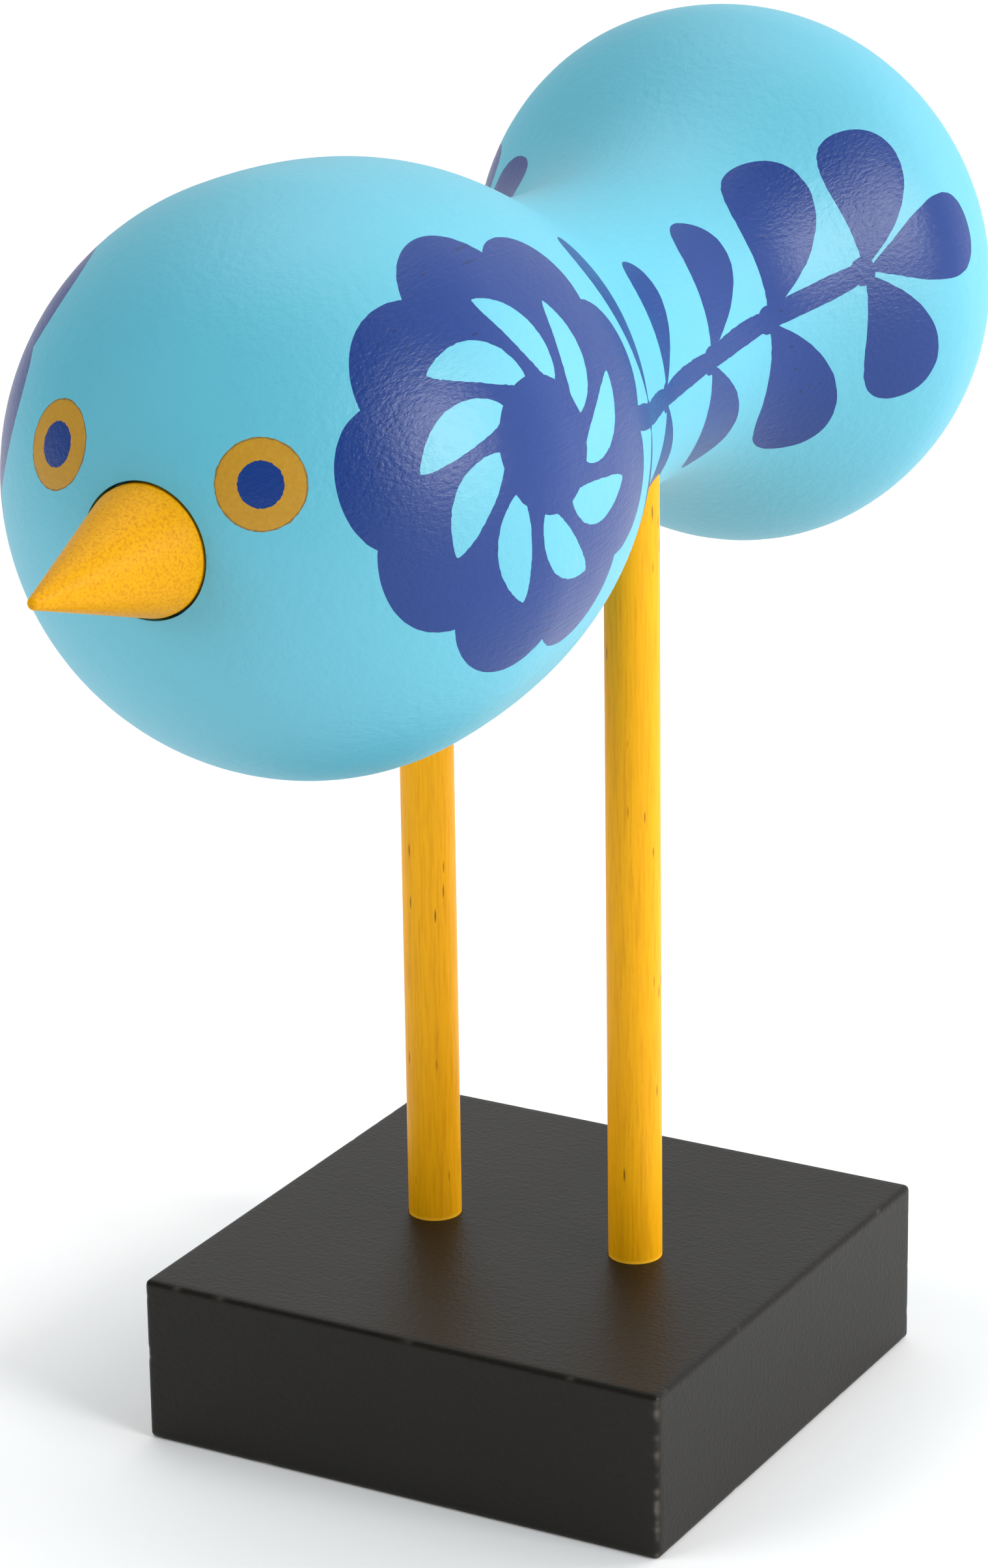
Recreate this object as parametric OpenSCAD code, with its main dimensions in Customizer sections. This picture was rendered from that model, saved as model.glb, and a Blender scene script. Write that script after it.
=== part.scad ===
// A turned wooden bird on a block base, of five glued pieces: a body that is round about
// one level axis, a turned beak, two dowel legs and a square base block.
// The origin is the centre of the base's underside. +Z is up, the beak points along -Y,
// and the legs stand side by side along X, midway along the base.

/* [Body] */
// Length of the body from its front end to its rear end
body_length = 195; // [170:1:230]
// How far the body's front end reaches ahead of the legs' centre line
nose_reach = 100; // [85:0.5:115]
// Height of the body's axis above the top of the base
axis_height = 132.5; // [110:0.5:160]
// Diameter of the head at its fullest
head_d = 81; // [66:0.5:98]
// Distance of the head's fullest ring behind the front end
head_at = 40; // [32:0.5:50]
// Diameter of the waist at its thinnest
waist_d = 46; // [39:0.5:58]
// Distance of the waist's thinnest ring behind the front end
waist_at = 121; // [105:0.5:128]
// Diameter of the tail at its fullest
tail_d = 81.5; // [66:0.5:98]
// Distance of the tail's fullest ring behind the front end
tail_at = 163; // [152:0.5:168]

/* [Body curve] */
// Fullness of the front end, where 0.55 is close to an ellipse
nose_fullness = 0.53; // [0.4:0.01:0.7]
// Fullness of the head's back
head_fullness = 0.5; // [0.3:0.01:0.6]
// Length of the waist's bend towards the head
waist_front = 0.55; // [0.25:0.01:0.6]
// Length of the waist's bend towards the tail
waist_rear = 0.5; // [0.25:0.01:0.6]
// Fullness of the tail's front
tail_fullness = 0.33; // [0.25:0.01:0.6]
// Fullness of the rear end
rear_fullness = 0.6; // [0.4:0.01:0.7]

/* [Beak] */
// How far the beak stands out ahead of the body's front end
beak_length = 24.5; // [16:0.5:32]
// Diameter of the beak where it meets the head
beak_d = 17.5; // [12:0.5:22]
// Radius of the beak's blunt tip
beak_tip_r = 1.2; // [0.8:0.1:2.5]
// Depth of the beak's round seat behind the body's front end
beak_seat = 4; // [3:0.5:8]
// Diameter of the beak's tenon
tenon_d = 8; // [5:0.5:10]
// Length of the beak's tenon
tenon_length = 14; // [8:0.5:20]

/* [Legs] */
// Diameter of each dowel leg
leg_d = 8; // [6:0.5:10]
// Wood left in the body outside each leg, at the height of the body's axis
leg_inset = 3.7; // [3:0.5:7]
// Drop from the body's axis to the top end of each leg
leg_top_drop = 3; // [1:0.5:6]
// Depth of each leg in the base
leg_in_base = 16; // [10:0.5:18]
// Bevel at both ends of each leg
leg_bevel = 0.8; // [0.4:0.1:1.5]

/* [Base] */
// Width of the base across the legs
base_width = 85; // [70:0.5:110]
// Depth of the base along the bird
base_depth = 83.5; // [70:0.5:110]
// Height of the base
base_height = 25.5; // [20:0.5:40]
// Bevel on the base's edges
base_bevel = 1; // [0.5:0.1:3]

/* [Fits] */
// Radial room for glue round each dowel and tenon
glue_gap = 0.1; // [0.05:0.05:0.3]
// Radial gap that shows round the beak in its seat
seat_gap = 0.4; // [0.1:0.1:0.8]
// Room left beyond the end of the beak's tenon
tenon_end_gap = 1; // [0.5:0.5:3]

/* [Hidden] */
$fn = 96;
overrun = 1;            // how far each cutter runs past the face that it opens
curve_steps = 14;       // straight steps in each stretch of the body's outline
tip_steps = 6;          // straight steps round the beak's tip

// The point at share s along a cubic curve from a to d, drawn towards b and c
function curve_point(a, b, c, d, s) =
    pow(1 - s, 3) * a + 3 * s * pow(1 - s, 2) * b + 3 * s * s * (1 - s) * c + pow(s, 3) * d;
function curve(a, b, c, d) =
    [for (i = [0 : curve_steps - 1]) curve_point(a, b, c, d, i / curve_steps)];

// The body's outline as [distance behind the front end, radius]
head_r = head_d / 2;
waist_r = waist_d / 2;
tail_r = tail_d / 2;
head_to_waist = waist_at - head_at;
waist_to_tail = tail_at - waist_at;
tail_to_end = body_length - tail_at;
outline = concat(
    curve([0, 0], [0, nose_fullness * head_r],
          [head_at * (1 - nose_fullness), head_r], [head_at, head_r]),
    curve([head_at, head_r], [head_at + head_fullness * head_to_waist, head_r],
          [waist_at - waist_front * head_to_waist, waist_r], [waist_at, waist_r]),
    curve([waist_at, waist_r], [waist_at + waist_rear * waist_to_tail, waist_r],
          [tail_at - tail_fullness * waist_to_tail, tail_r], [tail_at, tail_r]),
    curve([tail_at, tail_r], [tail_at + rear_fullness * tail_to_end, tail_r],
          [body_length, rear_fullness * tail_r], [body_length, 0]),
    [[body_length, 0]]);

axis_z = base_height + axis_height;
leg_x = lookup(nose_reach, outline) - leg_inset - leg_d / 2;
leg_foot_z = base_height - leg_in_base;
leg_top_z = axis_z - leg_top_drop;
beak_r = beak_d / 2;
beak_rim = lookup(beak_r, [for (i = [0 : curve_steps - 1]) [outline[i][1], outline[i][0]]]);

// Places a shape made on +Z so that it lies on the body's axis, pointing backwards,
// a given distance behind the body's front end
module along_body(behind_nose) {
    translate([0, behind_nose - nose_reach, axis_z])
        rotate([-90, 0, 0])
            children();
}

// A rectangle with bevelled corners, centred
module bevelled_rectangle(w, h, bevel) {
    x = w / 2;
    y = h / 2;
    polygon([
        [x - bevel, -y], [x, bevel - y], [x, y - bevel], [x - bevel, y],
        [bevel - x, y], [-x, y - bevel], [-x, bevel - y], [bevel - x, -y]]);
}

// Both leg holes, from foot_z up to top_z
module leg_holes(foot_z, top_z) {
    for (side = [-1, 1])
        translate([side * leg_x, 0, foot_z])
            cylinder(r = leg_d / 2 + glue_gap, h = top_z - foot_z);
}

// One dowel leg. It bottoms in its hole in the base, and the body sits on its top end.
module leg(side) {
    straight = leg_top_z - leg_foot_z - 2 * leg_bevel;
    translate([side * leg_x, 0, leg_foot_z]) {
        cylinder(d1 = leg_d - 2 * leg_bevel, d2 = leg_d, h = leg_bevel);
        translate([0, 0, leg_bevel])
            cylinder(d = leg_d, h = straight);
        translate([0, 0, leg_bevel + straight])
            cylinder(d1 = leg_d, d2 = leg_d - 2 * leg_bevel, h = leg_bevel);
    }
}

module base_block() {
    color([0.16, 0.16, 0.16])
        difference() {
            translate([0, 0, base_height / 2])
                intersection() {
                    linear_extrude(base_height, center = true)
                        bevelled_rectangle(base_width, base_depth, base_bevel);
                    rotate([90, 0, 0])
                        linear_extrude(base_depth, center = true)
                            bevelled_rectangle(base_width, base_height, base_bevel);
                    rotate([90, 0, 90])
                        linear_extrude(base_width, center = true)
                            bevelled_rectangle(base_depth, base_height, base_bevel);
                }
            leg_holes(leg_foot_z, base_height + overrun);
        }
}

module left_leg() {
    color([0.86, 0.62, 0.12])
        leg(1);
}

module right_leg() {
    color([0.86, 0.62, 0.12])
        leg(-1);
}

// The body is turned in one piece, then bored for the legs and the beak
module body() {
    color([0.46, 0.78, 0.87])
        difference() {
            along_body(0)
                rotate_extrude()
                    polygon([for (p = outline) [p[1], p[0]]]);
            leg_holes(axis_z - head_r - tail_r, leg_top_z);
            along_body(-overrun)
                cylinder(r = beak_r + seat_gap, h = beak_seat + overrun);
            along_body(0)
                cylinder(r = tenon_d / 2 + glue_gap, h = beak_seat + tenon_length + tenon_end_gap);
        }
}

// The beak is a cone with a blunt tip. Its short straight collar sits in the seat, and
// the tenon behind it is glued into the head. The cone's side meets the tip's round
// where both lean forward by the same angle.
module beak() {
    reach = beak_length + beak_rim - beak_tip_r;
    lean = atan2(beak_r, reach) - asin(beak_tip_r / norm([beak_r, reach]));
    color([0.98, 0.73, 0.14])
        along_body(0)
            rotate_extrude()
                polygon(concat(
                    [[0, beak_seat + tenon_length],
                     [tenon_d / 2, beak_seat + tenon_length],
                     [tenon_d / 2, beak_seat],
                     [beak_r, beak_seat],
                     [beak_r, beak_rim]],
                    [for (i = [0 : tip_steps])
                        let (turn = lean + (90 - lean) * i / tip_steps)
                        [beak_tip_r * cos(turn),
                         beak_tip_r - beak_length - beak_tip_r * sin(turn)]]));
}

base_block();
left_leg();
right_leg();
body();
beak();
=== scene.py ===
# A turned wooden bird on a block base, painted light blue and printed with navy flowers.
# All lengths are metres in the part's frame: the origin is the centre of the base's
# underside, +Z is up, the beak points along -Y and the legs stand side by side along X.
import math
import random

import bpy
from mathutils import Euler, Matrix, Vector
from mathutils.geometry import delaunay_2d_cdt


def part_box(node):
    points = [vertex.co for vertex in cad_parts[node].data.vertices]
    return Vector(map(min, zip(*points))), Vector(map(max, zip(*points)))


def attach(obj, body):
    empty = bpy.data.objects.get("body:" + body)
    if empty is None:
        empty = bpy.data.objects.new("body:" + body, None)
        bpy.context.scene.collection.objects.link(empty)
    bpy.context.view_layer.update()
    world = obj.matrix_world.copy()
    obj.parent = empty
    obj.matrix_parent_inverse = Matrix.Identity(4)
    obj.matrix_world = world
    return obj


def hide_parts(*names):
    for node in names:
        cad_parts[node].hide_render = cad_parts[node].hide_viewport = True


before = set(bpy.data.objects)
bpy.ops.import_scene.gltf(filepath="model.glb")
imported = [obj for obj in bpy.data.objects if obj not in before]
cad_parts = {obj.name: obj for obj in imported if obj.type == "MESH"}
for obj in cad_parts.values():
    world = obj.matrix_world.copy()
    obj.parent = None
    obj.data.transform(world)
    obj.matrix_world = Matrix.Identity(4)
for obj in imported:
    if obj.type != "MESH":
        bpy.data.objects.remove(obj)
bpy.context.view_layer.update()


# ---------------------------------------------------------------------------
# Studio: a pale floor, a soft lamp to the camera's right, three wider ones behind, above
# and to its left, and a long lens a little above the bird, off its left shoulder.
# ---------------------------------------------------------------------------

def pick_nothing():
    for item in bpy.context.selected_objects:
        item.select_set(False)


CAMERA_PLACE = (0.3479, -0.6273, 0.3461)
CAMERA_ROUND = 29.417      # degrees round from the front, towards the bird's left side
CAMERA_DOWN = 19.197       # degrees that it looks down
CAMERA_LEAN = -0.836       # degrees that it leans
CAMERA_LENS = 120.24       # millimetres, on a sensor whose long side is LONG_SIDE
LONG_SIDE = 36

pick_nothing()
aim = (Euler((0, 0, math.radians(CAMERA_ROUND))).to_matrix()
       @ Euler((math.radians(90 - CAMERA_DOWN), 0, 0)).to_matrix()
       @ Euler((0, 0, math.radians(CAMERA_LEAN))).to_matrix())
bpy.ops.object.camera_add(location=CAMERA_PLACE, rotation=aim.to_euler())
camera = bpy.context.object
camera.name = "camera"
camera.data.lens = CAMERA_LENS
camera.data.sensor_width = LONG_SIDE
camera.data.clip_start = 0.01
camera.data.clip_end = 50
bpy.context.scene.camera = camera


LAMPS_FACE = (0, 0, 0.12)


def soft_lamp(name, place, size, watts, gleams=True):
    """A square lamp that faces the bird. Without gleams it isn't mirrored in the paint."""
    towards = Vector(LAMPS_FACE) - Vector(place)
    pick_nothing()
    bpy.ops.object.light_add(type="AREA", location=place,
                             rotation=towards.to_track_quat("-Z", "Y").to_euler())
    lamp = bpy.context.object
    lamp.name = name
    lamp.data.shape = "SQUARE"
    lamp.data.size = size
    lamp.data.energy = watts
    lamp.visible_glossy = gleams


soft_lamp("right_lamp", (2.95, -0.30, 1.32), 1.50, 86)
soft_lamp("rear_lamp", (2.10, 2.50, 1.00), 2.20, 62, gleams=False)
soft_lamp("top_lamp", (-0.30, 0.60, 3.20), 2.40, 26)
soft_lamp("front_lamp", (-2.30, -2.45, 1.75), 2.60, 78, gleams=False)

# The air is bright behind the bird, where a backdrop would hang, and dim on the camera's
# side. It brightens as the cosine of the angle to the backdrop goes from DIM_AT to BRIGHT_AT.
AIR_BEHIND = (0.10, 0.90, 0.36)
AIR_DIM, AIR_BRIGHT = 0.10, 0.95
DIM_AT, BRIGHT_AT = -0.05, 0.80
world = bpy.data.worlds.new("studio_air")
bpy.context.scene.world = world
world.use_nodes = True
air = world.node_tree
heading = air.nodes.new("ShaderNodeTexCoord")
facing_back = air.nodes.new("ShaderNodeVectorMath")
facing_back.operation = "DOT_PRODUCT"
facing_back.inputs[1].default_value = Vector(AIR_BEHIND).normalized()
brightness = air.nodes.new("ShaderNodeMapRange")
brightness.inputs["From Min"].default_value = DIM_AT
brightness.inputs["From Max"].default_value = BRIGHT_AT
brightness.inputs["To Min"].default_value = AIR_DIM
brightness.inputs["To Max"].default_value = AIR_BRIGHT
air.links.new(heading.outputs["Generated"], facing_back.inputs[0])
air.links.new(facing_back.outputs["Value"], brightness.inputs["Value"])
air.links.new(brightness.outputs[0], air.nodes["Background"].inputs["Strength"])
air.nodes["Background"].inputs["Color"].default_value = (1.0, 1.0, 1.0, 1)
bpy.context.scene.view_settings.view_transform = "Standard"

FLOOR_SIZE = 14

pick_nothing()
bpy.ops.mesh.primitive_plane_add(size=FLOOR_SIZE)
floor = bpy.context.object
floor.name = "floor"
floor_finish = bpy.data.materials.new("floor_finish")
floor_finish.use_nodes = True
floor_shader = floor_finish.node_tree.nodes["Principled BSDF"]
floor_shader.inputs["Base Color"].default_value = (0.90, 0.90, 0.90, 1)
floor_shader.inputs["Roughness"].default_value = 0.8
floor.data.materials.append(floor_finish)


# ---------------------------------------------------------------------------
# Base block: a square block sawn from planed softwood, its edges rubbed round,
# sprayed satin black. Two blind holes are drilled in its top for the legs.
# ---------------------------------------------------------------------------

EDGE_ROUND, EDGE_STEPS = 0.0009, 5
LONG_EDGE = 0.01           # edges longer than this are cut up, so that nicks can dent them
BLOCK_CUTS = 88
HOLE_ROOM = 0.0001         # glue room round each dowel in its hole
HOLE_SIDES = 96
OVERRUN = 0.002            # how far a drill starts outside the wood

base_low, base_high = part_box("base_block")
leg_boxes = {side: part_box(side + "_leg") for side in ("left", "right")}


def apply_modifier(piece, kind, **settings):
    modifier = piece.modifiers.new(kind.lower(), kind)
    for name, value in settings.items():
        setattr(modifier, name, value)
    bpy.context.view_layer.objects.active = piece
    bpy.ops.object.modifier_apply(modifier=modifier.name)


def drill(piece, start, end, radius):
    """Takes a round hole out of a piece, from one point to another."""
    pick_nothing()
    start, end = Vector(start), Vector(end)
    bpy.ops.mesh.primitive_cylinder_add(
        vertices=HOLE_SIDES, radius=radius, depth=(end - start).length, location=(start + end) / 2,
        rotation=(end - start).to_track_quat("Z", "Y").to_euler())
    bit = bpy.context.object
    apply_modifier(piece, "BOOLEAN", operation="DIFFERENCE", solver="EXACT", object=bit)
    bpy.data.objects.remove(bit)


def bore_for_leg(piece, leg_box, low_z, high_z):
    """Drills an upright hole for one leg into a piece, between two heights."""
    low, high = leg_box
    middle = (low + high) / 2
    drill(piece, (middle.x, middle.y, low_z), (middle.x, middle.y, high_z),
          (high.x - low.x) / 2 + HOLE_ROOM)


def edit_all(piece):
    """Opens a piece's mesh for editing, with all of it selected."""
    pick_nothing()
    piece.select_set(True)
    bpy.context.view_layer.objects.active = piece
    bpy.ops.object.mode_set(mode="EDIT")
    bpy.ops.mesh.select_all(action="SELECT")


SMOOTH_BELOW = 35          # faces that meet at less than this many degrees look like one


def settle(piece):
    """Puts a piece's place into its mesh and shades its round faces smooth."""
    pick_nothing()
    piece.select_set(True)
    bpy.context.view_layer.objects.active = piece
    bpy.ops.object.transform_apply(location=True, rotation=True, scale=True)
    bpy.ops.object.shade_smooth_by_angle(angle=math.radians(SMOOTH_BELOW))


pick_nothing()
bpy.ops.mesh.primitive_cube_add(size=1, location=(base_low + base_high) / 2,
                                scale=base_high - base_low)
base_block = bpy.context.object
base_block.name = "base_block_painted"
bpy.ops.object.transform_apply(location=True, rotation=True, scale=True)
edit_all(base_block)
bpy.ops.mesh.bevel(offset=EDGE_ROUND, segments=EDGE_STEPS, affect="EDGES")
bpy.ops.mesh.select_all(action="DESELECT")
bpy.ops.mesh.select_mode(type="EDGE")
bpy.ops.object.mode_set(mode="OBJECT")
block_corners = base_block.data.vertices
for edge in base_block.data.edges:
    one, two = (block_corners[i].co for i in edge.vertices)
    edge.select = (one - two).length > LONG_EDGE
bpy.ops.object.mode_set(mode="EDIT")
bpy.ops.mesh.subdivide(number_cuts=BLOCK_CUTS)
bpy.ops.object.mode_set(mode="OBJECT")

# Nicks: small dents where the edges were knocked, far closer together on the front corner
NICK_SEED = 3
FRONT_NICKS, OTHER_NICKS = 34, 4           # along the front corner, and along each other edge
NICK_SIZES = (0.00035, 0.00055)
NICK_DEPTHS = (0.00006, 0.00022)
NICK_REACH = 0.003         # how far from the block's outside its edges are dented
BARE_DEPTH = 0.00018       # the paint is worn through at this depth

knocks = random.Random(NICK_SEED)
edge_lines = [(axis, one, two) for axis in range(3) for one in (0, 1) for two in (0, 1)]
nicks = []
for axis, one, two in edge_lines:
    others = [i for i in range(3) if i != axis]
    is_front_corner = axis == 2 and (one, two) == (1, 0)
    for _ in range(FRONT_NICKS if is_front_corner else OTHER_NICKS):
        spot_on_edge = Vector((0, 0, 0))
        spot_on_edge[axis] = knocks.uniform(base_low[axis], base_high[axis])
        spot_on_edge[others[0]] = (base_low, base_high)[one][others[0]]
        spot_on_edge[others[1]] = (base_low, base_high)[two][others[1]]
        nicks.append((spot_on_edge, knocks.uniform(*NICK_SIZES), knocks.uniform(*NICK_DEPTHS)))
block_middle = (base_low + base_high) / 2
block_half = (base_high - base_low) / 2
worn = base_block.data.attributes.new("worn", "FLOAT", "POINT")
for vertex in base_block.data.vertices:
    sides_near = sum(abs(vertex.co[i] - block_middle[i]) > block_half[i] - NICK_REACH
                     for i in range(3))
    if sides_near < 2:
        continue
    depth = sum(deep * math.exp(-(vertex.co - at).length_squared / size ** 2)
                for at, size, deep in nicks)
    vertex.co += (block_middle - vertex.co).normalized() * depth
    worn.data[vertex.index].value = min(1.0, depth / BARE_DEPTH)
for leg_box in leg_boxes.values():
    bore_for_leg(base_block, leg_box, leg_box[0].z, base_high.z + OVERRUN)
settle(base_block)


def new_group(name, inputs, outputs):
    """An empty shader node group with the given sockets. Float inputs carry a default."""
    group = bpy.data.node_groups.new(name, "ShaderNodeTree")
    for label, value in inputs.items():
        kind = "NodeSocketVector" if value is None else "NodeSocketFloat"
        socket = group.interface.new_socket(name=label, in_out="INPUT", socket_type=kind)
        if value is not None:
            socket.default_value = value
    for label in outputs:
        group.interface.new_socket(name=label, in_out="OUTPUT", socket_type="NodeSocketFloat")
    group.nodes.new("NodeGroupInput")
    group.nodes.new("NodeGroupOutput")
    return group


def node(tree, kind, values=None, **settings):
    """Adds a node. Values that are sockets are linked, and plain ones are set."""
    made = tree.nodes.new("ShaderNode" + kind)
    for name, value in settings.items():
        setattr(made, name, value)
    for name, value in (values or {}).items():
        if isinstance(value, bpy.types.NodeSocket):
            tree.links.new(value, made.inputs[name])
        else:
            made.inputs[name].default_value = value
    return made


def place_group(tree, group, values):
    return node(tree, "Group", values, node_tree=group)


def group_ends(group):
    return group.nodes["Group Input"].outputs, group.nodes["Group Output"].inputs


# Paint film: the pebbly skin of sprayed paint, and a slow drift in its tone
paint_film = new_group("paint_film", {"Vector": None, "Pebble Size": 0.0012},
                       ["Height", "Drift"])
given, result = group_ends(paint_film)
per_metre = node(paint_film, "Math", {0: 1.0, 1: given["Pebble Size"]}, operation="DIVIDE")
pebbles = node(paint_film, "TexNoise", {"Vector": given["Vector"], "Scale": per_metre.outputs[0],
                                        "Detail": 3.0, "Roughness": 0.55})
drift = node(paint_film, "TexNoise", {"Vector": given["Vector"], "Scale": 28.0, "Detail": 3.0})
paint_film.links.new(pebbles.outputs["Fac"], result["Height"])
paint_film.links.new(drift.outputs["Fac"], result["Drift"])

# Grain: fine ridges of the wood that show through a thin coat, along the Z axis of the
# vector that it is given, and sparse open pores as short dark dashes
wood_grain = new_group("wood_grain", {"Vector": None, "Ridge Width": 0.0005, "Stretch": 14.0,
                                      "Pore Share": 0.3}, ["Ridges", "Pores"])
given, result = group_ends(wood_grain)
shorten = node(wood_grain, "Math", {0: 1.0, 1: given["Stretch"]}, operation="DIVIDE")
lengthwise = node(wood_grain, "CombineXYZ", {"X": 1.0, "Y": 1.0, "Z": shorten.outputs[0]})
drawn = node(wood_grain, "VectorMath", {0: given["Vector"], 1: lengthwise.outputs[0]},
             operation="MULTIPLY")
per_metre = node(wood_grain, "Math", {0: 1.0, 1: given["Ridge Width"]}, operation="DIVIDE")
ridges = node(wood_grain, "TexNoise", {"Vector": drawn.outputs[0], "Scale": per_metre.outputs[0],
                                       "Detail": 4.0, "Roughness": 0.6})
pore_size = node(wood_grain, "Math", {0: per_metre.outputs[0], 1: 0.55}, operation="MULTIPLY")
pore_cells = node(wood_grain, "TexVoronoi", {"Vector": drawn.outputs[0],
                                             "Scale": pore_size.outputs[0]})
near_centre = node(wood_grain, "MapRange", {"Value": pore_cells.outputs["Distance"],
                                            "From Min": 0.22, "From Max": 0.10})
cell_draw = node(wood_grain, "SeparateColor", {"Color": pore_cells.outputs["Color"]})
chosen = node(wood_grain, "Math", {0: cell_draw.outputs["Red"], 1: given["Pore Share"]},
              operation="LESS_THAN")
pores = node(wood_grain, "Math", {0: near_centre.outputs[0], 1: chosen.outputs[0]},
             operation="MULTIPLY")
wood_grain.links.new(ridges.outputs["Fac"], result["Ridges"])
wood_grain.links.new(pores.outputs[0], result["Pores"])


# Specks: scattered dots of dust or pits, each in its own cell of the space
specks = new_group("specks", {"Vector": None, "Spacing": 0.006, "Share": 0.2, "Size": 0.08},
                   ["Mask"])
given, result = group_ends(specks)
per_metre = node(specks, "Math", {0: 1.0, 1: given["Spacing"]}, operation="DIVIDE")
cells_of_dust = node(specks, "TexVoronoi", {"Vector": given["Vector"],
                                            "Scale": per_metre.outputs[0]})
inner_size = node(specks, "Math", {0: given["Size"], 1: 0.6}, operation="MULTIPLY")
dot = node(specks, "MapRange", {"Value": cells_of_dust.outputs["Distance"],
                                "From Min": given["Size"], "From Max": inner_size.outputs[0]})
cell_draw = node(specks, "SeparateColor", {"Color": cells_of_dust.outputs["Color"]})
chosen = node(specks, "Math", {0: cell_draw.outputs["Green"], 1: given["Share"]},
              operation="LESS_THAN")
mask = node(specks, "Math", {0: dot.outputs[0], 1: chosen.outputs[0]}, operation="MULTIPLY")
specks.links.new(mask.outputs[0], result["Mask"])


def blend_colour(tree, share, first, second):
    """Mixes two colours, each a socket or a plain red, green and blue."""
    first, second = ((*colour, 1) if isinstance(colour, tuple) else colour
                     for colour in (first, second))
    return node(tree, "Mix", {0: share, 6: first, 7: second}, data_type="RGBA").outputs[2]


def new_finish(name):
    """A material, its node tree, its shader and its object coordinates."""
    finish = bpy.data.materials.new(name)
    finish.use_nodes = True
    tree = finish.node_tree
    place = node(tree, "TexCoord").outputs["Object"]
    return finish, tree, tree.nodes["Principled BSDF"], place


def turned(tree, place, degrees):
    """Turns the coordinates, so that the grain runs along another axis."""
    angles = [math.radians(angle) for angle in degrees]
    return node(tree, "Mapping", {"Vector": place, "Rotation": angles}).outputs[0]


def relief(tree, shader, heights):
    """Lays bumps over one another. Each height comes with its depth in metres."""
    below = None
    for height, depth in heights:
        bump = node(tree, "Bump", {"Height": height, "Distance": depth, "Strength": 1.0})
        if below is not None:
            tree.links.new(below, bump.inputs["Normal"])
        below = bump.outputs["Normal"]
    tree.links.new(below, shader.inputs["Normal"])


def rough_between(tree, shader, share, low, high):
    spread = node(tree, "MapRange", {"Value": share, "To Min": low, "To Max": high})
    tree.links.new(spread.outputs[0], shader.inputs["Roughness"])


black_paint, tree, shader, place = new_finish("black_paint")
grain = place_group(tree, wood_grain, {"Vector": turned(tree, place, (0, 90, 0)),
                                       "Ridge Width": 0.0006, "Stretch": 6.0, "Pore Share": 0.06})
film = place_group(tree, paint_film, {"Vector": place, "Pebble Size": 0.0007})
tone = blend_colour(tree, film.outputs["Drift"], (0.0054, 0.0044, 0.0027),
                    (0.0088, 0.0074, 0.0054))
tone = blend_colour(tree, grain.outputs["Pores"], tone, (0.004, 0.004, 0.003))
dust = place_group(tree, specks, {"Vector": place, "Spacing": 0.010, "Share": 0.40,
                                  "Size": 0.036})
pits = place_group(tree, specks, {"Vector": place, "Spacing": 0.008, "Share": 0.22,
                                  "Size": 0.035})
tone = blend_colour(tree, dust.outputs["Mask"], tone, (0.26, 0.25, 0.23))
worn_share = node(tree, "Attribute", attribute_name="worn").outputs["Fac"]
tone = blend_colour(tree, worn_share, tone, (0.080, 0.070, 0.058))
tree.links.new(tone, shader.inputs["Base Color"])
rough_between(tree, shader, film.outputs["Drift"], 0.38, 0.48)
shader.inputs["Specular IOR Level"].default_value = 0.25
sunk = node(tree, "Math", {0: 1.0, 1: pits.outputs["Mask"]}, operation="SUBTRACT")
relief(tree, shader, [(grain.outputs["Ridges"], 0.00003), (film.outputs["Height"], 0.00008),
                      (sunk.outputs[0], 0.00012)])
base_block.data.materials.append(black_paint)

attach(base_block, "root")
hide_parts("base_block")


# ---------------------------------------------------------------------------
# Legs: two lengths of wooden dowel, bevelled at both ends and stained yellow.
# Each is glued into a blind hole in the base and stands straight up into the body.
# ---------------------------------------------------------------------------

LEG_SIDES = 72
LEG_BEVEL, BEVEL_STEPS = 0.0008, 3
FOOT_GLINT_HEIGHT = 0.0005          # height of the pale ring painted round each leg where it enters the base: a painted highlight, not glue

leg_paint, tree, shader, place = new_finish("leg_paint")
grain = place_group(tree, wood_grain, {"Vector": place, "Ridge Width": 0.0005,
                                       "Stretch": 7.0, "Pore Share": 0.17})
film = place_group(tree, paint_film, {"Vector": place, "Pebble Size": 0.0005})
streaks = place_group(tree, wood_grain, {"Vector": place, "Ridge Width": 0.0004,
                                         "Stretch": 22.0, "Pore Share": 0.0})
streak_share = node(tree, "MapRange", {"Value": streaks.outputs["Ridges"], "From Min": 0.46,
                                       "From Max": 0.74})
height = node(tree, "SeparateXYZ", {"Vector": place}).outputs["Z"]
# A pale band painted round each leg just above the base top: a painted highlight of the bright
# edge where the leg enters the base
foot_glint_share = node(tree, "MapRange", {"Value": height, "From Min": base_high.z + FOOT_GLINT_HEIGHT,
                                     "From Max": base_high.z + FOOT_GLINT_HEIGHT / 2})
tone = blend_colour(tree, film.outputs["Drift"], (0.74, 0.336, 0.002), (0.86, 0.408, 0.003))
tone = blend_colour(tree, streak_share.outputs[0], tone, (0.66, 0.278, 0.002))
tone = blend_colour(tree, grain.outputs["Pores"], tone, (0.26, 0.10, 0.006))
# the lighter yellow at the foot is painted highlight
tone = blend_colour(tree, foot_glint_share.outputs[0], tone, (0.92, 0.46, 0.020))
tree.links.new(tone, shader.inputs["Base Color"])
rough_between(tree, shader, grain.outputs["Ridges"], 0.38, 0.52)
shader.inputs["Specular IOR Level"].default_value = 0.18
relief(tree, shader, [(grain.outputs["Ridges"], 0.00005), (film.outputs["Height"], 0.00003)])

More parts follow.
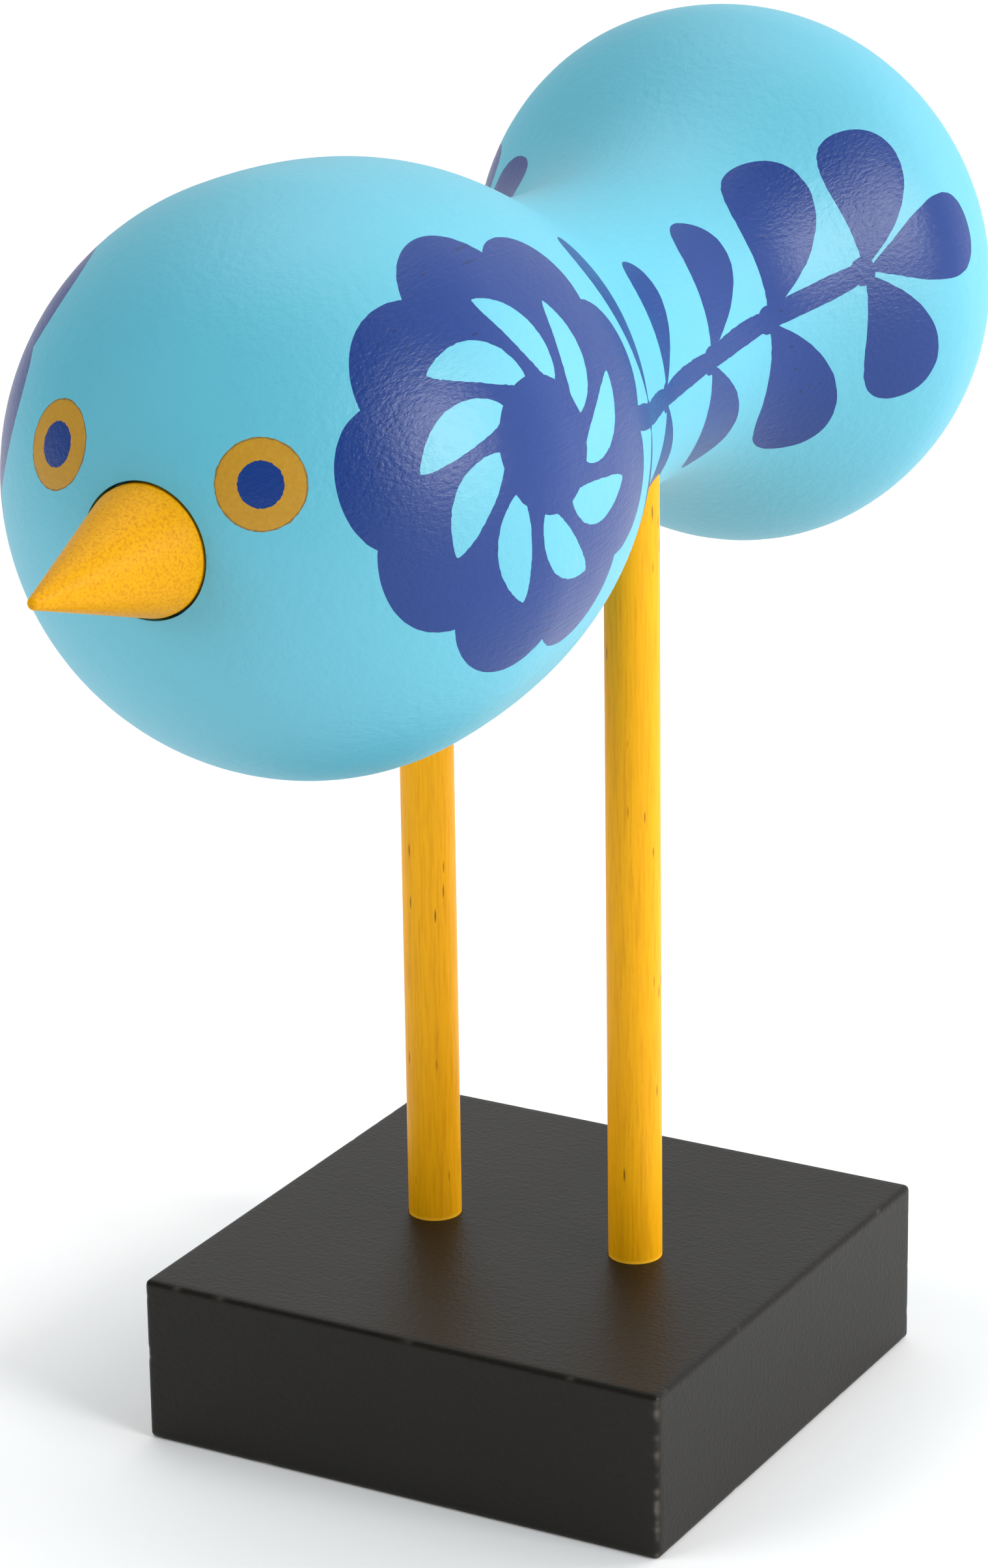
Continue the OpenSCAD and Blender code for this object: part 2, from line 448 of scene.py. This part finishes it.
left_low, left_high = leg_boxes["left"]
right_low, _ = leg_boxes["right"]
pick_nothing()
bpy.ops.mesh.primitive_cylinder_add(
    vertices=LEG_SIDES, radius=(left_high.x - left_low.x) / 2, depth=left_high.z - left_low.z,
    location=(left_low + left_high) / 2)
left_leg = bpy.context.object
left_leg.name = "left_leg_dowel"
bpy.ops.object.mode_set(mode="EDIT")
bpy.ops.mesh.select_all(action="DESELECT")
bpy.ops.object.mode_set(mode="OBJECT")
for face in left_leg.data.polygons:
    face.select = abs(face.normal.z) > 0.9         # the two flat ends
bpy.ops.object.mode_set(mode="EDIT")
bpy.ops.mesh.select_mode(type="FACE")
bpy.ops.mesh.bevel(offset=LEG_BEVEL, segments=BEVEL_STEPS, affect="EDGES")
bpy.ops.object.mode_set(mode="OBJECT")
settle(left_leg)

bpy.ops.object.duplicate(linked=False)
right_leg = bpy.context.object
right_leg.name = "right_leg_dowel"
right_leg.location = right_low - left_low
settle(right_leg)

for side, leg in (("left", left_leg), ("right", right_leg)):
    leg.data.materials.append(leg_paint)
    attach(leg, "root")
    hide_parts(side + "_leg")


# ---------------------------------------------------------------------------
# Body: head, waist and tail turned in one piece of wood, round about one level
# axis. It is sprayed light blue, and the flowers and eyes are printed on the paint.
# ---------------------------------------------------------------------------

HEAD_AT, HEAD_RADIUS = 0.0400, 0.0405      # the fullest ring of the head, and so on
WAIST_AT, WAIST_RADIUS = 0.1210, 0.0230
TAIL_AT, TAIL_RADIUS = 0.1630, 0.04075
BODY_LENGTH = 0.1950
NOSE_FULLNESS, HEAD_FULLNESS = 0.53, 0.50
WAIST_FRONT, WAIST_REAR = 0.55, 0.50
TAIL_FULLNESS, REAR_FULLNESS = 0.33, 0.60

body_low, body_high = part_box("body")
NOSE_Y = body_high.y - BODY_LENGTH
AXIS_Z = (body_low.z + body_high.z) / 2


def curve_points(a, b, c, d, count):
    """Points along a cubic curve from a to d, drawn towards b and c, without the last."""
    points = []
    for step in range(count):
        s = step / count
        points.append((1 - s) ** 3 * Vector(a) + 3 * s * (1 - s) ** 2 * Vector(b)
                      + 3 * s * s * (1 - s) * Vector(c) + s ** 3 * Vector(d))
    return points


CURVE_STEPS = 160
to_waist, to_tail, to_end = WAIST_AT - HEAD_AT, TAIL_AT - WAIST_AT, BODY_LENGTH - TAIL_AT
outline = (
    curve_points((0, 0), (0, NOSE_FULLNESS * HEAD_RADIUS),
                 (HEAD_AT * (1 - NOSE_FULLNESS), HEAD_RADIUS), (HEAD_AT, HEAD_RADIUS), CURVE_STEPS)
    + curve_points((HEAD_AT, HEAD_RADIUS), (HEAD_AT + HEAD_FULLNESS * to_waist, HEAD_RADIUS),
                   (WAIST_AT - WAIST_FRONT * to_waist, WAIST_RADIUS), (WAIST_AT, WAIST_RADIUS),
                   CURVE_STEPS)
    + curve_points((WAIST_AT, WAIST_RADIUS), (WAIST_AT + WAIST_REAR * to_tail, WAIST_RADIUS),
                   (TAIL_AT - TAIL_FULLNESS * to_tail, TAIL_RADIUS), (TAIL_AT, TAIL_RADIUS),
                   CURVE_STEPS)
    + curve_points((TAIL_AT, TAIL_RADIUS), (TAIL_AT + REAR_FULLNESS * to_end, TAIL_RADIUS),
                   (BODY_LENGTH, REAR_FULLNESS * TAIL_RADIUS), (BODY_LENGTH, 0), CURVE_STEPS)
    + [Vector((BODY_LENGTH, 0))])
travel = [0.0]             # distance over the skin from the nose to each outline point
for last, this in zip(outline, outline[1:]):
    travel.append(travel[-1] + (this - last).length)
SKIN_LENGTH = travel[-1]


def outline_at(distance):
    """The outline's point and its forward-to-rear direction at a distance over the skin."""
    distance = min(max(distance, 0.0), SKIN_LENGTH)
    low, high = 0, len(travel) - 1
    while high - low > 1:
        middle = (low + high) // 2
        low, high = (middle, high) if travel[middle] <= distance else (low, middle)
    share = (distance - travel[low]) / (travel[high] - travel[low])
    return outline[low].lerp(outline[high], share), (outline[high] - outline[low]).normalized()


def skin_point(distance, angle):
    """The point on the skin at a distance from the nose and an angle from straight up."""
    (along, radius), _ = outline_at(distance)
    return Vector((radius * math.sin(angle), NOSE_Y + along, AXIS_Z + radius * math.cos(angle)))


def skin_normal(distance, angle):
    _, (along, rise) = outline_at(distance)
    return Vector((along * math.sin(angle), -rise, along * math.cos(angle)))


# The printed shapes. Each is a leaf: a midline from one place to another, which may bow
# to one side, and a width that swells between the two ends. A power of 0.5 makes an end
# round, 1 makes it pointed, and more draws it out. A place on the skin is its distance
# from the nose in millimetres, and its angle from straight up in degrees. Lengths are
# in millimetres, and a bow to the left of the way from start to end counts as positive.
MM = 1000                  # millimetres in a metre
LEAF_STEPS = 40
EDGE_RAG = 0.035           # how ragged the print's edges are, in millimetres
RAG_SEED = 7
BLUE, NAVY, OCHRE, RIM = 0, 1, 2, 3        # the order of the body's materials
ragged = random.Random(RAG_SEED)
prints = []                # (colour, outline as places), painted in this order


def degrees_per_mm(distance_mm):
    (_, radius), _ = outline_at(distance_mm / MM)
    return math.degrees(1 / MM / radius)


def beside(place, reach, turn):
    """A place near another: at 0 degrees it is to the rear of it, and at 90 it is above."""
    return (place[0] + reach * math.cos(math.radians(turn)),
            place[1] - reach * math.sin(math.radians(turn)) * degrees_per_mm(place[0]))


def leaf(colour, start, end, width, base, tip, bow=0.0):
    """Prints a leaf. base and tip are the powers of the swell at its start and end."""
    scale = degrees_per_mm((start[0] + end[0]) / 2)
    line = Vector((end[0] - start[0], (start[1] - end[1]) / scale))
    side = Vector((-line.y, line.x)).normalized()
    fullest = base / (base + tip)
    most = fullest ** base * (1 - fullest) ** tip
    left, right = [], []
    for step in range(LEAF_STEPS + 1):
        s = (1 - math.cos(math.pi * step / LEAF_STEPS)) / 2
        half = width / 2 * s ** base * (1 - s) ** tip / most
        for edge, sign in ((left, 1), (right, -1)):
            off = side * (bow * 4 * s * (1 - s) + sign * (half + ragged.gauss(0, EDGE_RAG)))
            distance = start[0] + line.x * s + off.x
            edge.append((distance, start[1] + (end[1] - start[1]) * s
                         - off.y * degrees_per_mm(distance)))
    prints.append((colour, left + right[-2:0:-1]))


def round_spot(colour, centre, diameter, sheet=prints):
    """A true circle, set out flat against the skin at its centre and pressed on to it."""
    at, angle = centre[0] / MM, math.radians(centre[1])
    middle = skin_point(at, angle)
    across = Vector((math.cos(angle), 0, -math.sin(angle)))
    along = skin_normal(at, angle).cross(across)
    ring = []
    for step in range(2 * LEAF_STEPS):
        turn = math.pi * step / LEAF_STEPS
        reach = diameter / 2 / MM + ragged.gauss(0, EDGE_RAG) / MM
        point = middle + (across * math.cos(turn) + along * math.sin(turn)) * reach
        here = Vector((point.y - NOSE_Y, math.hypot(point.x, point.z - AXIS_Z)))
        nearest = min(range(1, len(outline) - 1), key=lambda i: (outline[i] - here).length)
        way = (outline[nearest + 1] - outline[nearest - 1]).normalized()
        ring.append(((travel[nearest] + way.dot(here - outline[nearest])) * MM,
                     math.degrees(math.atan2(point.x, point.z - AXIS_Z))))
    sheet.append((colour, ring))


# The flower on the head: a ring of round petals about a disc, with a wheel of curved gaps
FLOWER = (59.0, 75.5)
GROUND_WIDTH, DISC_WIDTH = 36, 18.5        # of the navy under the gaps, and over their ends
PETALS = 9
PETAL_FROM, PETAL_TO, PETAL_WIDTH = 11, 32, 20.5
GAP_FROM, GAP_TO, GAP_WIDTH = 9, 21, 5.8
GAP_SWEEP = 42             # degrees that each gap goes round the disc on its way out
FIRST_PETAL, FIRST_GAP = 13, 12            # degrees round the flower

round_spot(NAVY, FLOWER, GROUND_WIDTH)
for petal in range(PETALS):
    turn = FIRST_PETAL + petal * 360 // PETALS
    leaf(NAVY, beside(FLOWER, PETAL_FROM, turn), beside(FLOWER, PETAL_TO, turn), PETAL_WIDTH,
         base=0.5, tip=0.5)
for gap in range(PETALS):
    turn = FIRST_GAP + gap * 360 // PETALS
    leaf(BLUE, beside(FLOWER, GAP_FROM, turn), beside(FLOWER, GAP_TO, turn + GAP_SWEEP),
         GAP_WIDTH, base=0.6, tip=0.75, bow=-1.6)
round_spot(NAVY, FLOWER, DISC_WIDTH)

# The garland behind the flower: a stem through the waist to the tail, with pairs of
# leaves that open towards the tail, and one last leaf at its end
STEM = [(86, 80), (97, 83), (118, 88), (138, 87), (155, 82), (173, 76)]
STEM_WIDTH, JOINT_WIDTH = 3.6, 4.2
LEAF_PAIRS = [             # place, reach, turn from straight back and width of each pair
    (STEM[1], 27, 98, 8.0), (STEM[2], 21, 74, 8.5), (STEM[3], 22, 64, 11.5),
    (STEM[4], 23, 62, 14.0), (STEM[5], 20, 68, 13.0)]
LEAF_BOW = 1.2
END_REACH, END_TURN, END_WIDTH = 22, 4, 12.5

for one, two in zip(STEM, STEM[1:]):
    leaf(NAVY, one, two, STEM_WIDTH, base=0.15, tip=0.15)
for place, reach, turn, width in LEAF_PAIRS:
    round_spot(NAVY, place, JOINT_WIDTH)
    leaf(NAVY, place, beside(place, reach, turn), width, base=1.2, tip=0.45, bow=-LEAF_BOW)
    leaf(NAVY, place, beside(place, reach, -turn), width, base=1.2, tip=0.45, bow=LEAF_BOW)
leaf(NAVY, STEM[-1], beside(STEM[-1], END_REACH, END_TURN), END_WIDTH, base=1.3, tip=0.45)

# The skin of each side is laid out flat, cut along the prints' outlines, and wrapped
# round. Flat, it is as long as the outline and as wide as half a turn at FLAT_RADIUS.
# The print on the right side went on further back, and lower towards the tail, and the
# eye on that side a little higher.
FLAT_RADIUS = 40.0
SKIN_CELL = 1.6            # the grid that the flat skin is filled with, in millimetres
CUT_TOLERANCE = 1e-4       # cuts nearer than this are taken to touch, in millimetres
PRINT_BACK = 5.0           # millimetres further from the nose on that side
PRINT_DROP = 1.0           # degrees further down
PRINT_PIVOT = 70.0         # where the tilt begins, in millimetres from the nose
PRINT_TILT = 0.16          # degrees round for each millimetre along
EYES = {1: (18.9, 57.6), -1: (19.7, 54.0)}         # 1 is the left side, and -1 the right
EYE_WIDTH, PUPIL_WIDTH, EYE_RIM = 12.0, 6.0, 0.22
SAME_POINT, TINY_EDGE = 0.00002, 0.000005          # what is merged where the cuts meet

rows = round(SKIN_LENGTH * MM / SKIN_CELL)
columns = round(math.pi * FLAT_RADIUS / SKIN_CELL)


def flat_place(distance, angle):
    return Vector((distance, math.radians(angle) * FLAT_RADIUS))


def is_inside(x, y, places):
    """Whether a point of the flat skin lies inside a closed outline."""
    crossed = False
    for (x1, y1), (x2, y2) in zip(places, places[1:] + places[:1]):
        if (y1 > y) != (y2 > y) and x < x1 + (y - y1) * (x2 - x1) / (y2 - y1):
            crossed = not crossed
    return crossed


points, faces, colours = [], [], []
for side in (1, -1):
    if side == 1:
        sheet = list(prints)
    else:
        sheet = [(colour, [(distance + PRINT_BACK,
                            angle + PRINT_DROP + PRINT_TILT * max(0, distance - PRINT_PIVOT))
                           for distance, angle in places]) for colour, places in prints]
    round_spot(RIM, EYES[side], EYE_WIDTH, sheet)
    round_spot(OCHRE, EYES[side], EYE_WIDTH - 2 * EYE_RIM, sheet)
    round_spot(NAVY, EYES[side], PUPIL_WIDTH, sheet)
    flat = [Vector((SKIN_LENGTH * MM * row / rows, math.pi * FLAT_RADIUS * column / columns))
            for row in range(rows + 1) for column in range(columns + 1)]
    cuts = []
    for _, places in sheet:
        first = len(flat)
        flat += [flat_place(*place) for place in places]
        cuts += [(i, i + 1) for i in range(first, len(flat) - 1)] + [(len(flat) - 1, first)]
    corners, _, cells, _, _, _ = delaunay_2d_cdt(flat, cuts, [], 0, CUT_TOLERANCE)
    paint = [BLUE] * len(cells)
    middles = [sum((corners[i] for i in cell), Vector((0, 0))) / 3 for cell in cells]
    for colour, places in sheet:
        places = [tuple(flat_place(*place)) for place in places]
        left, right = min(x for x, _ in places), max(x for x, _ in places)
        low, high = min(y for _, y in places), max(y for _, y in places)
        for i, (x, y) in enumerate(middles):
            if left < x < right and low < y < high and is_inside(x, y, places):
                paint[i] = colour
    faces += [[i + len(points) for i in cell[::side]] for cell in cells]
    points += [skin_point(p.x / MM, side * p.y / FLAT_RADIUS) for p in corners]
    colours += paint


def add_mesh(name, points, edges, faces):
    mesh = bpy.data.meshes.new(name)
    mesh.from_pydata(points, edges, faces)
    piece = bpy.data.objects.new(name, mesh)
    bpy.context.collection.objects.link(piece)
    return piece


body = add_mesh("body_turned", points, [], faces)
body.data.polygons.foreach_set("material_index", colours)
edit_all(body)
bpy.ops.mesh.remove_doubles(threshold=SAME_POINT)
bpy.ops.mesh.dissolve_degenerate(threshold=TINY_EDGE)
bpy.ops.mesh.normals_make_consistent(inside=False)
bpy.ops.object.mode_set(mode="OBJECT")

# The holes: a shallow round seat and a deeper bore for the beak, and one for each leg
SEAT_ROOM = 0.0004
SEAT_DEPTH = 0.0040
TENON_RADIUS = 0.0040
TENON_END_ROOM = 0.001
beak_low, beak_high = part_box("beak")
BEAK_RADIUS = (beak_high.x - beak_low.x) / 2

drill(body, (0, NOSE_Y - OVERRUN, AXIS_Z), (0, NOSE_Y + SEAT_DEPTH, AXIS_Z),
      BEAK_RADIUS + SEAT_ROOM)
drill(body, (0, NOSE_Y, AXIS_Z), (0, beak_high.y + TENON_END_ROOM, AXIS_Z),
      TENON_RADIUS + HOLE_ROOM)
for leg_box in leg_boxes.values():
    bore_for_leg(body, leg_box, AXIS_Z - 2 * WAIST_RADIUS, leg_box[1].z)
settle(body)

blue_paint, tree, shader, place = new_finish("blue_paint")
grain = place_group(tree, wood_grain, {"Vector": turned(tree, place, (90, 0, 0)),
                                       "Ridge Width": 0.0006, "Pore Share": 0.05})
film = place_group(tree, paint_film, {"Vector": place, "Pebble Size": 0.0015})
tone = blend_colour(tree, film.outputs["Drift"], (0.082, 0.400, 0.525), (0.104, 0.436, 0.562))
tree.links.new(tone, shader.inputs["Base Color"])
rough_between(tree, shader, film.outputs["Drift"], 0.42, 0.52)
shader.inputs["Specular IOR Level"].default_value = 0.70
relief(tree, shader, [(grain.outputs["Ridges"], 0.00006), (film.outputs["Height"], 0.00012)])
body.data.materials.append(blue_paint)

navy_print, tree, shader, place = new_finish("navy_print")
grain = place_group(tree, wood_grain, {"Vector": turned(tree, place, (90, 0, 0)),
                                       "Ridge Width": 0.0005, "Pore Share": 0.12})
film = place_group(tree, paint_film, {"Vector": place, "Pebble Size": 0.0010})
tone = blend_colour(tree, film.outputs["Drift"], (0.004, 0.031, 0.172), (0.007, 0.038, 0.200))
tone = blend_colour(tree, grain.outputs["Pores"], tone, (0.006, 0.020, 0.10))
tree.links.new(tone, shader.inputs["Base Color"])
rough_between(tree, shader, grain.outputs["Ridges"], 0.26, 0.38)
shader.inputs["Specular IOR Level"].default_value = 0.38
relief(tree, shader, [(grain.outputs["Ridges"], 0.00010), (film.outputs["Height"], 0.00005)])
body.data.materials.append(navy_print)

ochre_paint, tree, shader, place = new_finish("ochre_paint")
film = place_group(tree, paint_film, {"Vector": place, "Pebble Size": 0.0006})
tone = blend_colour(tree, film.outputs["Height"], (0.35, 0.18, 0.008), (0.50, 0.27, 0.018))
tree.links.new(tone, shader.inputs["Base Color"])
rough_between(tree, shader, film.outputs["Drift"], 0.45, 0.55)
relief(tree, shader, [(film.outputs["Height"], 0.00003)])
body.data.materials.append(ochre_paint)

# The thin dark line round each eye: a slightly wider disc that shows round the ochre one
eye_rim_paint, tree, shader, place = new_finish("eye_rim_paint")
film = place_group(tree, paint_film, {"Vector": place, "Pebble Size": 0.0003})
tone = blend_colour(tree, film.outputs["Height"], (0.06, 0.075, 0.045), (0.34, 0.19, 0.020))
tree.links.new(tone, shader.inputs["Base Color"])
rough_between(tree, shader, film.outputs["Drift"], 0.42, 0.52)
relief(tree, shader, [(film.outputs["Height"], 0.00003)])
body.data.materials.append(eye_rim_paint)

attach(body, "root")
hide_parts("body")


# ---------------------------------------------------------------------------
# Beak: a small turned cone with a blunt tip, stained yellow. Its collar sits in the
# seat in the head, and the tenon behind it is glued into the bore.
# ---------------------------------------------------------------------------

TIP_RADIUS = 0.0009
TIP_STEPS, CONE_STEPS, SPIN_STEPS = 8, 20, 96
COLLAR_SHOWS = 0.0003      # how much of the straight collar stands out of the head
SPIN_SEAM = 0.00001        # points nearer than this are merged where the turn closes

front_y = beak_low.y
collar_y = NOSE_Y + SEAT_DEPTH
rim_y = NOSE_Y + min((point.x for point in outline[:CURVE_STEPS] if point.y >= BEAK_RADIUS))
reach = rim_y - front_y - TIP_RADIUS
lean = math.atan2(BEAK_RADIUS, reach) - math.asin(TIP_RADIUS / math.hypot(BEAK_RADIUS, reach))
profile = []
for step in range(TIP_STEPS + 1):
    turn = math.pi / 2 + (lean - math.pi / 2) * step / TIP_STEPS
    profile.append((TIP_RADIUS * math.cos(turn), front_y + TIP_RADIUS * (1 - math.sin(turn))))
tip_edge = profile[-1]
for step in range(1, CONE_STEPS + 1):
    share = step / CONE_STEPS
    profile.append((tip_edge[0] + (BEAK_RADIUS - tip_edge[0]) * share,
                    tip_edge[1] + (rim_y - COLLAR_SHOWS - tip_edge[1]) * share))
profile += [(BEAK_RADIUS, rim_y), (BEAK_RADIUS, collar_y), (TENON_RADIUS, collar_y),
            (TENON_RADIUS, beak_high.y), (0, beak_high.y)]

beak = add_mesh("beak_turned", [(radius, y, AXIS_Z) for radius, y in profile],
                [(i, i + 1) for i in range(len(profile) - 1)], [])
edit_all(beak)
bpy.ops.mesh.spin(steps=SPIN_STEPS, angle=2 * math.pi, center=(0, 0, AXIS_Z), axis=(0, 1, 0))
bpy.ops.mesh.select_all(action="SELECT")
bpy.ops.mesh.remove_doubles(threshold=SPIN_SEAM)
bpy.ops.mesh.normals_make_consistent(inside=False)
bpy.ops.object.mode_set(mode="OBJECT")
settle(beak)

beak_paint, tree, shader, place = new_finish("beak_paint")
grain = place_group(tree, wood_grain, {"Vector": turned(tree, place, (90, 0, 0)),
                                       "Ridge Width": 0.0002, "Stretch": 2.5,
                                       "Pore Share": 0.45})
film = place_group(tree, paint_film, {"Vector": place, "Pebble Size": 0.0004})
tone = blend_colour(tree, film.outputs["Drift"], (0.62, 0.280, 0.001), (0.74, 0.372, 0.002))
tone = blend_colour(tree, grain.outputs["Pores"], tone, (0.56, 0.23, 0.003))
mottle = node(tree, "MapRange", {"Value": film.outputs["Height"], "From Min": 0.46,
                                 "From Max": 0.70})
tone = blend_colour(tree, mottle.outputs[0], tone, (0.52, 0.210, 0.002))
tree.links.new(tone, shader.inputs["Base Color"])
rough_between(tree, shader, film.outputs["Height"], 0.36, 0.48)
shader.inputs["Specular IOR Level"].default_value = 0.12
relief(tree, shader, [(film.outputs["Height"], 0.00003)])
beak.data.materials.append(beak_paint)

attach(beak, "root")
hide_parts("beak")
